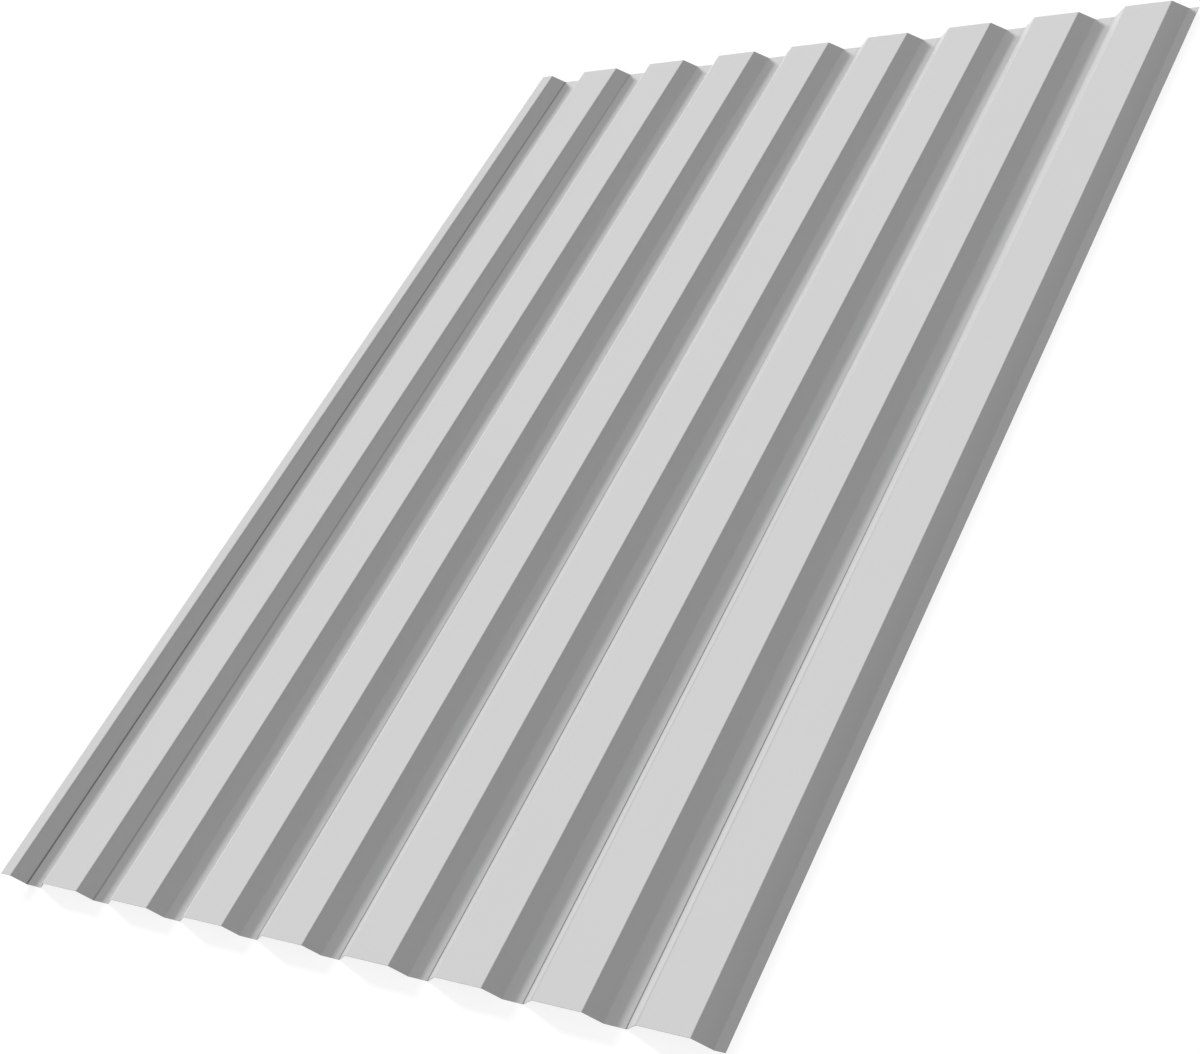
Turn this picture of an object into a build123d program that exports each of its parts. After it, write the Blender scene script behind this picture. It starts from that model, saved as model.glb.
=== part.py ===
from build123d import *
import os

# Corrugated metal sheet, one roll-formed piece, lying flat.
# The waves repeat along X, the ribs run along Y and the valleys rest on Z = 0.
# Sizes are in millimetres. Widths and heights are those of the upper face.

# Driving dimensions of the wave
wave_pitch = 137.5
web_run = 20.0
valley_width = 29.5
wave_depth = 15.5
whole_waves = 8

# Driving dimensions of the sheet
sheet_length = 1613.5
sheet_thickness = 0.5
bend_inside_radius = 2.0

# Side laps: the left edge ends in a narrow crest, the right edge in a narrow valley
crest_lip_width = 20.0
valley_lip_width = 14.0

# Sizes that follow
crest_width = wave_pitch - valley_width - 2 * web_run
bend_outside_radius = bend_inside_radius + sheet_thickness
crest_level = sheet_thickness + wave_depth
valley_level = sheet_thickness
sheet_width = crest_lip_width + whole_waves * wave_pitch + web_run + valley_lip_width
left_edge = -sheet_width / 2
right_edge = sheet_width / 2


def upper_corners():
    """Corners of the upper face from left to right, each with its bend radius."""
    corners = []
    crest_end = left_edge + crest_lip_width
    for wave in range(whole_waves + 1):
        valley_start = crest_end + web_run
        corners.append(((crest_end, crest_level), bend_outside_radius))
        corners.append(((valley_start, valley_level), bend_inside_radius))
        if wave < whole_waves:
            valley_end = valley_start + valley_width
            crest_start = valley_end + web_run
            corners.append(((valley_end, valley_level), bend_inside_radius))
            corners.append(((crest_start, crest_level), bend_outside_radius))
            crest_end = crest_start + crest_width
    return corners


def sheet_section():
    """Cross-section of the sheet in the XZ plane, as thick as the metal."""
    bends = upper_corners()
    points = [(left_edge, crest_level)]
    points += [point for point, radius in bends]
    points += [(right_edge, valley_level)]
    radii = [radius for point, radius in bends]
    upper_line = FilletPolyline(*points, radius=radii)
    outline = offset(upper_line, amount=sheet_thickness, side=Side.RIGHT)
    return Plane.XZ * make_face(outline.edges())


def corrugated_sheet():
    """The section carried along the ribs, half of the length each way."""
    return extrude(sheet_section(), amount=sheet_length / 2, both=True)


os.makedirs("parts", exist_ok=True)
sheet = corrugated_sheet()
sheet.label = "corrugated_sheet"
export_step(sheet, "parts/corrugated_sheet.step")
print("overall size", sheet.bounding_box().size)
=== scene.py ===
import math
import bmesh
import bpy
from mathutils import Matrix, Vector


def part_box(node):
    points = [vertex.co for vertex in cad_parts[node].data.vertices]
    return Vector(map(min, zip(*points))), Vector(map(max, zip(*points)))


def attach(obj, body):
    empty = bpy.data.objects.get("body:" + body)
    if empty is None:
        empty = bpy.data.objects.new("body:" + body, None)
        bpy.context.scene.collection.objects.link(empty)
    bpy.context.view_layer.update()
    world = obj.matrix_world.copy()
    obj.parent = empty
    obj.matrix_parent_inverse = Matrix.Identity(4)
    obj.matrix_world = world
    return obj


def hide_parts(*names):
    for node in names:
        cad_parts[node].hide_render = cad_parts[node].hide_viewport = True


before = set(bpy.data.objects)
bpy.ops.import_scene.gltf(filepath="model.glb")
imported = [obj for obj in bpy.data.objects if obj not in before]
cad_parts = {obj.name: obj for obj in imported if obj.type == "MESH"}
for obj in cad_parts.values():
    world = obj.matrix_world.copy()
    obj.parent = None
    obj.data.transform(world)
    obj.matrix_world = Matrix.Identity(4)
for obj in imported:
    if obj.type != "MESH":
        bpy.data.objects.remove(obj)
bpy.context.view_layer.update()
sheetLow, sheetHigh = (Vector(corner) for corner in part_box("corrugated_sheet"))
print("frame loaded, sheet box", sheetLow, sheetHigh)


class Value:
    # a shader value that sums and products can be written with
    def __init__(self, graph, socket):
        self.graph = graph
        self.socket = socket

    def math(self, operation, *parts):
        return self.graph.node("ShaderNodeMath", {"operation": operation}, dict(enumerate(parts)))

    def __add__(self, other):
        return self.math("ADD", self, other)

    def __radd__(self, other):
        return self.math("ADD", other, self)

    def __sub__(self, other):
        return self.math("SUBTRACT", self, other)

    def __rsub__(self, other):
        return self.math("SUBTRACT", other, self)

    def __mul__(self, other):
        return self.math("MULTIPLY", self, other)

    def __rmul__(self, other):
        return self.math("MULTIPLY", other, self)

    def __truediv__(self, other):
        return self.math("DIVIDE", self, other)

    def __mod__(self, other):
        return self.math("FLOORED_MODULO", self, other)

    def __abs__(self):
        return self.math("ABSOLUTE", self)

    def larger(self, other):
        return self.math("MAXIMUM", self, other)

    def smaller(self, other):
        return self.math("MINIMUM", self, other)

    def smooth(self, low, high, start=0.0, end=1.0):
        # goes softly from start at low to end at high
        settings = {"interpolation_type": "SMOOTHSTEP"}
        return self.graph.node("ShaderNodeMapRange", settings, {0: self, 1: low, 2: high, 3: start, 4: end})


class Graph:
    # the nodes of one material or of the world
    def __init__(self, owner):
        owner.use_nodes = True
        self.tree = owner.node_tree
        self.tree.nodes.clear()

    def node(self, kind, settings=None, sockets=None, output=0):
        made = self.tree.nodes.new(kind)
        for name, setting in (settings or {}).items():
            setattr(made, name, setting)
        for name, content in (sockets or {}).items():
            if isinstance(content, Value):
                self.tree.links.new(content.socket, made.inputs[name])
            else:
                made.inputs[name].default_value = content
        return Value(self, made.outputs[output]) if made.outputs else None

    def output(self, value, name):
        # another output of the node that made this value
        return Value(self, value.socket.node.outputs[name])


# The sheet's wave: widths and heights of its upper face, in metres
wave = {
    "pitch": 0.1375,
    "webRun": 0.0200,
    "valleyWidth": 0.0295,
    "wholeWaves": 8,
    "crestLip": 0.0200,
    "thickness": 0.0005,
    "insideRadius": 0.0020,
    "bendSegments": 6,
    "lengthCuts": 48,
    "rimRounding": 0.00008,
    "rimSegments": 2,
    "rimAngle": math.radians(60),
    "straightWithin": 0.00001,
}


def profileCorners():
    # corners of the upper face from the left edge to the right one, at the near end
    crestZ = sheetHigh.z
    valleyZ = sheetLow.z + wave["thickness"]
    corners = [(sheetLow.x, crestZ)]
    crestEnd = sheetLow.x + wave["crestLip"]
    for count in range(wave["wholeWaves"] + 1):
        valleyStart = crestEnd + wave["webRun"]
        corners += [(crestEnd, crestZ), (valleyStart, valleyZ)]
        if count < wave["wholeWaves"]:
            valleyEnd = valleyStart + wave["valleyWidth"]
            corners += [(valleyEnd, valleyZ), (valleyEnd + wave["webRun"], crestZ)]
            crestEnd += wave["pitch"]
    corners.append((sheetHigh.x, valleyZ))
    return corners


def bendCreases(mesh, atCrest, radius):
    # rounds the creases along the ribs, those at the crests or those at the valleys
    middleZ = (sheetLow.z + sheetHigh.z) / 2
    depth = sheetHigh.z - sheetLow.z - wave["thickness"]
    turn = math.atan(depth / wave["webRun"])
    creases = [
        edge for edge in mesh.edges
        if len(edge.link_faces) == 2
        and abs(edge.verts[0].co.x - edge.verts[1].co.x) < wave["straightWithin"]
        and (edge.verts[0].co.z > middleZ) == atCrest
    ]
    bmesh.ops.bevel(
        mesh, geom=creases, affect="EDGES", offset=radius * math.tan(turn / 2), offset_type="OFFSET",
        segments=wave["bendSegments"], profile=0.5, material=-1,
    )


def makeSheet():
    mesh = bmesh.new()
    nearY, farY = sheetLow.y, sheetHigh.y
    row = [mesh.verts.new((x, nearY, z)) for x, z in profileCorners()]
    edges = [mesh.edges.new(pair) for pair in zip(row, row[1:])]
    drawn = bmesh.ops.extrude_edge_only(mesh, edges=edges)["geom"]
    moved = [part for part in drawn if isinstance(part, bmesh.types.BMVert)]
    bmesh.ops.translate(mesh, verts=moved, vec=(0, farY - nearY, 0))
    bendCreases(mesh, True, wave["insideRadius"] + wave["thickness"])
    bendCreases(mesh, False, wave["insideRadius"])
    for cut in range(1, wave["lengthCuts"]):
        place = nearY + (farY - nearY) * cut / wave["lengthCuts"]
        everything = mesh.verts[:] + mesh.edges[:] + mesh.faces[:]
        bmesh.ops.bisect_plane(mesh, geom=everything, plane_co=(0, place, 0), plane_no=(0, 1, 0))
    bmesh.ops.recalc_face_normals(mesh, faces=mesh.faces[:])
    if sum(face.normal.z for face in mesh.faces) < 0:
        bmesh.ops.reverse_faces(mesh, faces=mesh.faces[:])
    for face in mesh.faces:
        face.smooth = True
    data = bpy.data.meshes.new("ribbedSheet")
    mesh.to_mesh(data)
    mesh.free()
    sheet = bpy.data.objects.new("ribbedSheet", data)
    bpy.context.scene.collection.objects.link(sheet)
    wall = sheet.modifiers.new("wall", "SOLIDIFY")
    wall.thickness = wave["thickness"]
    wall.offset = -1
    wall.use_even_offset = True
    rim = sheet.modifiers.new("rim", "BEVEL")
    rim.width = wave["rimRounding"]
    rim.segments = wave["rimSegments"]
    rim.limit_method = "ANGLE"
    rim.angle_limit = wave["rimAngle"]
    normals = sheet.modifiers.new("normals", "WEIGHTED_NORMAL")
    normals.keep_sharp = True
    return sheet


# The coating: light grey, with painted shade on the slopes, and worn metal at the cut edges
coating = {
    "grey": (0.72, 0.72, 0.72),
    # painted shade: the share of the grey left on the slopes falling away from the lamp and on those rising
    # towards it, and how much darker the rising ones get towards the right
    "fallShadeShare": 0.84,
    "riseShadeShare": 0.675,
    "riseShadeDrop": 0.085,
    "roughness": 0.45,
    "roughnessSpread": 0.06,
    "refraction": 1.5,
    "toneSpread": 0.02,
    "cloudScale": 6.0,
    "cloudDetail": 3.0,
    "streakScale": (900.0, 3.0, 900.0),
    "streakDetail": 2.0,
    "peelScale": 700.0,
    "peelDetail": 2.0,
    "peelShare": 0.6,
    "bumpStrength": 0.12,
    "bumpDistance": 0.0002,
    "edgeGrey": (0.10, 0.10, 0.104),
    "edgeMetal": 0.7,
    "edgeWear": (0.00005, 0.00012),
}

# The painted shade lines in the bends: how far from the crease, half their width, and their strength
bendShadeLines = {
    "grey": (0.10, 0.10, 0.10),
    "coreShare": 0.3,
    "foot": {"offset": 0.0006, "halfWidth": 0.0021, "strength": 0.85},
    "rise": {"offset": -0.0005, "halfWidth": 0.0014, "strength": 0.68},
    # a wide soft painted shade in the valley beside each rising slope
    "riseSoftShade": {"offset": 0.0010, "halfWidth": 0.0080, "strength": 0.10},
    "top": {"offset": -0.0002, "halfWidth": 0.0018, "strength": 0.36},
}

# Where the painted shade fades over the sheet: from and to, as shares of a side, and the strengths there
acrossShares = {
    "foot": (0.02, 0.30, 1.0, 0.0),
    "rise": (0.22, 0.50, 0.0, 1.0),
    "top": (0.55, 0.85, 0.0, 1.0),
    "slopeShade": (0.10, 0.35, 0.0, 1.0),
}
lengthShares = {
    "foot": (0.35, 1.0, 1.0, 0.7),
    "rise": (0.25, 0.725, 1.0, 0.1),
}


def coatingMaterial():
    material = bpy.data.materials.new("greyCoating")
    graph = Graph(material)
    place = graph.node("ShaderNodeTexCoord", output="Object")
    x = graph.node("ShaderNodeSeparateXYZ", sockets={0: place}, output=0)
    y = graph.output(x, 1)

    # the place within a wave, from the right side of each crest, and over the whole sheet
    along = (x - (sheetLow.x + wave["crestLip"])) % wave["pitch"]
    acrossShare = (x - sheetLow.x) / (sheetHigh.x - sheetLow.x)
    lengthShare = (y - sheetLow.y) / (sheetHigh.y - sheetLow.y)

    def line(name, crease):
        # one painted shade line along a bend, falling softly to nothing at the sides
        size = bendShadeLines[name]
        away = abs(along - (crease + size["offset"]))
        core = size["halfWidth"] * bendShadeLines["coreShare"]
        return away.smooth(core, size["halfWidth"], size["strength"], 0.0)

    def band(start, end):
        # one between two places along the wave, with soft borders in the bends
        border = wave["insideRadius"] / 2
        begun = along.smooth(start - border, start + border)
        return begun * along.smooth(end - border, end + border, 1.0, 0.0)

    riseStart = wave["webRun"] + wave["valleyWidth"]
    riseEnd = riseStart + wave["webRun"]
    fallSlope = band(0.0, wave["webRun"])
    riseSlope = band(riseStart, riseEnd)
    # painted shade on the slopes: those rising towards the lamp darker than those falling away, and darker
    # still towards the right side
    riseShadeShare = coating["riseShadeShare"] - acrossShare.smooth(*acrossShares["slopeShade"]) * coating["riseShadeDrop"]
    slopeShade = 1.0 - fallSlope * (1.0 - coating["fallShadeShare"]) - riseSlope * (1.0 - riseShadeShare)

    # the painted shade lines fade over the sheet: the foot line kept to the left ribs, the rise and top
    # lines to the right ribs, and all three weaken towards the far end, the rise and top lines the most
    footFade = acrossShare.smooth(*acrossShares["foot"]) * lengthShare.smooth(*lengthShares["foot"])
    riseFade = acrossShare.smooth(*acrossShares["rise"])
    topFade = acrossShare.smooth(*acrossShares["top"])
    nearFade = lengthShare.smooth(*lengthShares["rise"])
    footLine = line("foot", wave["webRun"]) * footFade
    riseLine = line("rise", riseStart) * riseFade * nearFade
    riseSoftShade = line("riseSoftShade", riseStart) * riseFade
    topLine = line("top", riseEnd) * topFade * nearFade
    bendShade = footLine.larger(riseLine + riseSoftShade).larger(topLine)

    def noise(vector, scale, detail):
        return graph.node("ShaderNodeTexNoise", sockets={"Vector": vector, "Scale": scale, "Detail": detail})

    cloud = noise(place, coating["cloudScale"], coating["cloudDetail"])
    stretched = graph.node("ShaderNodeMapping", sockets={"Vector": place, "Scale": coating["streakScale"]})
    streak = noise(stretched, 1.0, coating["streakDetail"])
    peel = noise(place, coating["peelScale"], coating["peelDetail"])
    # the painted slope shade, with a little tone that differs at random
    shadeAndTone = slopeShade + coating["toneSpread"] * (cloud + streak - 1.0)

    def mixed(blend, factor, first, second):
        settings = {"data_type": "RGBA", "blend_type": blend}
        return graph.node("ShaderNodeMix", settings, {0: factor, 6: first, 7: second}, output=2)

    def opaque(colour):
        return (*colour, 1.0)

    # the cut edges are worn to dark metal
    endDistance = sheetHigh.y - abs(y)
    sideDistance = sheetHigh.x - abs(x)
    worn = endDistance.smaller(sideDistance).smooth(*coating["edgeWear"], 1.0, 0.0)

    # the grey takes the painted slope shade, then the painted shade lines in the bends, then the worn cut
    # edges
    toned = mixed("MULTIPLY", 1.0, opaque(coating["grey"]), shadeAndTone)
    withBendShade = mixed("MIX", bendShade, toned, opaque(bendShadeLines["grey"]))
    colour = mixed("MIX", worn, withBendShade, opaque(coating["edgeGrey"]))

    height = peel * coating["peelShare"] + streak * (1.0 - coating["peelShare"])
    bump = graph.node("ShaderNodeBump", sockets={
        "Strength": coating["bumpStrength"], "Distance": coating["bumpDistance"], "Height": height,
    })
    rough = coating["roughness"] + coating["roughnessSpread"] * (cloud + peel - 1.0)
    surface = graph.node("ShaderNodeBsdfPrincipled", sockets={
        "Base Color": colour, "Roughness": rough, "Metallic": worn * coating["edgeMetal"],
        "Normal": bump, "IOR": coating["refraction"],
    })
    graph.node("ShaderNodeOutputMaterial", sockets={"Surface": surface})
    return material


sheet = makeSheet()
sheet.data.materials.append(coatingMaterial())
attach(sheet, "root")
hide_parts("corrugated_sheet")
print("sheet made")


# The ground: a pale floor that shows white to the camera and keeps a light shadow
ground = {
    "halfSide": 30.0,
    "drop": 0.0002,
    "grey": 0.90,
    "shadowShare": 0.24,
    "glow": 0.85,
}


def makeFloor():
    mesh = bmesh.new()
    bmesh.ops.create_grid(mesh, x_segments=1, y_segments=1, size=ground["halfSide"])
    bmesh.ops.translate(mesh, verts=mesh.verts[:], vec=(0, 0, sheetLow.z - ground["drop"]))
    data = bpy.data.meshes.new("floor")
    mesh.to_mesh(data)
    mesh.free()
    floor = bpy.data.objects.new("floor", data)
    bpy.context.scene.collection.objects.link(floor)
    material = bpy.data.materials.new("paleFloor")
    graph = Graph(material)
    seen = graph.node("ShaderNodeLightPath", output="Is Camera Ray")
    shine = graph.output(seen, "Is Glossy Ray")
    shown = seen.larger(shine)
    level = ground["grey"] * (1.0 - shown * (1.0 - ground["shadowShare"]))
    paint = graph.node("ShaderNodeBsdfDiffuse", sockets={"Color": level})
    glow = graph.node("ShaderNodeEmission", sockets={"Strength": shown * ground["glow"]})
    both = graph.node("ShaderNodeAddShader", sockets={0: paint, 1: glow})
    graph.node("ShaderNodeOutputMaterial", sockets={"Surface": both})
    data.materials.append(material)
    return floor


makeFloor()
print("floor made")


# The light: a pale sky and one low soft lamp from behind on the left
light = {
    "skyStrength": 0.365,
    "skyColour": (0.985, 1.0, 0.995, 1.0),
    "lampTowards": (-0.905, 0.426),
    "lampElevation": math.radians(17.2),
    "lampAngle": math.radians(8.4),
    "lampStrength": 5.3,
}


def makeLight():
    world = bpy.data.worlds.new("sky")
    bpy.context.scene.world = world
    graph = Graph(world)
    seen = graph.node("ShaderNodeLightPath", output="Is Camera Ray")
    glossy = graph.output(seen, "Is Glossy Ray")
    through = graph.output(seen, "Is Transmission Ray")
    shown = seen.larger(glossy).larger(through)
    sky = graph.node("ShaderNodeBackground", sockets={0: light["skyColour"], 1: light["skyStrength"]})
    white = graph.node("ShaderNodeBackground", sockets={0: (1.0, 1.0, 1.0, 1.0), 1: 1.0})
    mixed = graph.node("ShaderNodeMixShader", sockets={0: shown, 1: sky, 2: white})
    graph.node("ShaderNodeOutputWorld", sockets={"Surface": mixed})
    lamp = bpy.data.lights.new("lowLamp", "SUN")
    lamp.energy = light["lampStrength"]
    lamp.angle = light["lampAngle"]
    holder = bpy.data.objects.new("lowLamp", lamp)
    bpy.context.scene.collection.objects.link(holder)
    flat = math.cos(light["lampElevation"])
    side, back = light["lampTowards"]
    towards = Vector((side * flat, back * flat, math.sin(light["lampElevation"])))
    holder.visible_glossy = False
    holder.rotation_euler = towards.to_track_quat("Z", "Y").to_euler()


makeLight()
print("light made")


# The camera: its place in metres, the way it looks and its lens
view = {
    "place": (1.71274, -1.46707, 1.62604),
    "right": (0.78388211, 0.42925859, -0.44862669),
    "up": (-0.04119841, 0.75689688, 0.65223447),
    "focalPixels": 2071.09,
    "imageWidth": 1200,
    "sensorWidth": 36.0,
    "farthest": 200.0,
}


def makeCamera():
    camera = bpy.data.cameras.new("camera")
    holder = bpy.data.objects.new("camera", camera)
    bpy.context.scene.collection.objects.link(holder)
    bpy.context.scene.camera = holder
    right, up = Vector(view["right"]), Vector(view["up"])
    back = right.cross(up)
    turn = Matrix((right, up, back)).transposed().to_4x4()
    holder.matrix_world = Matrix.Translation(view["place"]) @ turn
    camera.sensor_fit = "HORIZONTAL"
    camera.sensor_width = view["sensorWidth"]
    camera.lens = view["focalPixels"] / view["imageWidth"] * view["sensorWidth"]
    camera.clip_end = view["farthest"]


makeCamera()
bpy.context.scene.view_settings.view_transform = "Standard"
print("camera made")
